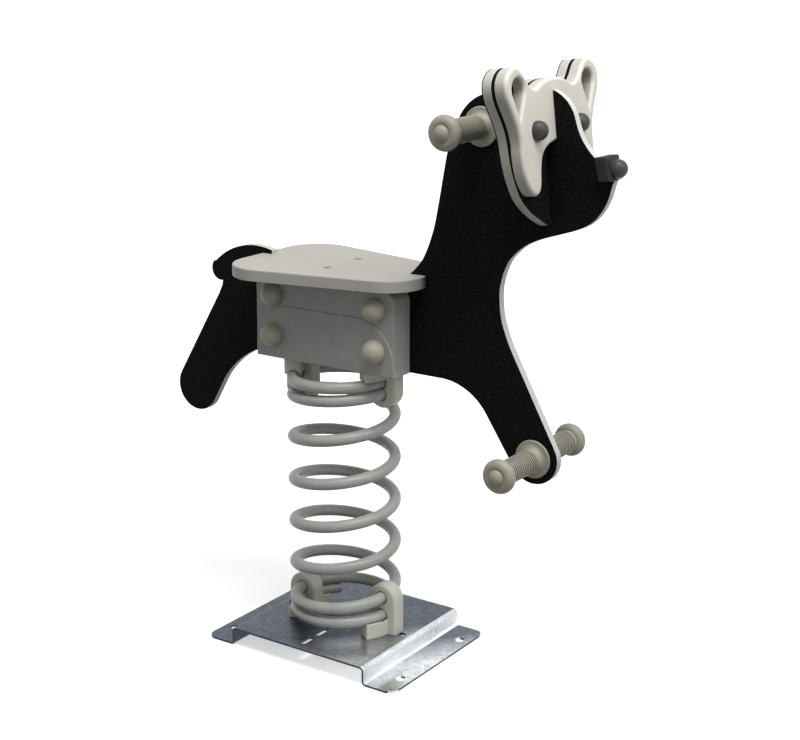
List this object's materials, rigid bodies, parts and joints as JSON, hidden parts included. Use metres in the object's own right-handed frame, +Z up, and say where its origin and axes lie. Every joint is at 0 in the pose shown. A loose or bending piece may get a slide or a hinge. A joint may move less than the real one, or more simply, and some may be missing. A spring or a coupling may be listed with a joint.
{
  "type": "spring rider",
  "caption": "Animal-shaped playground rocker on one coil spring, with a seat, hand grips, foot pegs and a folded ground plate.",
  "frame": {"origin": "centre of the four ground bolts, in the plane under the flanges, on the spring's axis", "axes": "+Z up along the spring, +X towards the animal's nose, -Y the rider's right-hand side"},
  "size_m": [0.8802, 0.286, 1.0124],
  "materials": {
    "galvanised_plate": "hot-dip galvanised, with spangle",
    "cast_clamp": "powder coated casting, satin",
    "spring_paint": "powder coated wire, semi-gloss",
    "black_skin": "fine-grained sheet",
    "white_core": "machined sheet edge",
    "grey_block": "smooth moulding",
    "olive_moulding": "smooth satin moulding",
    "seat_sheet": "fine-grained sheet",
    "face_sheet": "fine-grained sheet with rounded edges",
    "dark_moulding": "smooth satin moulding",
    "zinc_steel": "zinc plated"
  },
  "bodies": {
    "base": {"base_plate": "galvanised_plate", "lower_clamp_front": "cast_clamp", "lower_clamp_rear": "cast_clamp", "lower_clamp_bolts": "zinc_steel", "lower_clamp_washers": "zinc_steel"},
    "spring": {"coil_spring": "spring_paint"},
    "rider": {"upper_clamp_front": "cast_clamp", "upper_clamp_rear": "cast_clamp", "upper_clamp_bolts": "zinc_steel", "upper_clamp_washers": "zinc_steel", "saddle_bracket": "galvanised_plate", "body_core": "white_core", "body_skin_right": "black_skin", "body_skin_left": "black_skin", "inner_block_right": "grey_block", "inner_block_left": "grey_block", "outer_block_right": "grey_block", "outer_block_left": "grey_block", "through_rods": "zinc_steel", "rod_washers": "zinc_steel", "rod_nuts": "zinc_steel", "dome_caps_right": "olive_moulding", "dome_caps_left": "olive_moulding", "seat_panel": "seat_sheet", "seat_bolts": "zinc_steel", "seat_barrel_nuts": "zinc_steel", "face_front_plate": "face_sheet", "face_spacer": "black_skin", "face_rear_plate": "face_sheet", "face_back_skin": "black_skin", "face_brackets": "galvanised_plate", "face_bolts": "zinc_steel", "eye_right": "dark_moulding", "eye_left": "dark_moulding", "nose_block": "dark_moulding", "nose_cap": "dark_moulding", "nose_screw": "dark_moulding", "hand_grip_right": "olive_moulding", "hand_grip_left": "olive_moulding", "hand_grip_caps": "olive_moulding", "hand_rod": "zinc_steel", "hand_rod_nuts": "zinc_steel", "foot_peg_right": "olive_moulding", "foot_peg_left": "olive_moulding", "foot_peg_caps": "olive_moulding", "foot_rod": "zinc_steel", "foot_rod_nuts": "zinc_steel"}
  },
  "joints": [
    {"name": "rock_fore_aft", "type": "hinge", "parent": "base", "child": "spring", "pos_m": [0, 0, 0.19], "axis": [0, 1, 0], "range_deg": [-25, 25], "stiffness_Nm_per_rad": 400, "deforming": ["coil_spring"]},
    {"name": "rock_side", "type": "hinge", "parent": "spring", "child": "rider", "pos_m": [0, 0, 0.35], "axis": [1, 0, 0], "range_deg": [-18, 18], "stiffness_Nm_per_rad": 400, "deforming": ["coil_spring"]}
  ]
}
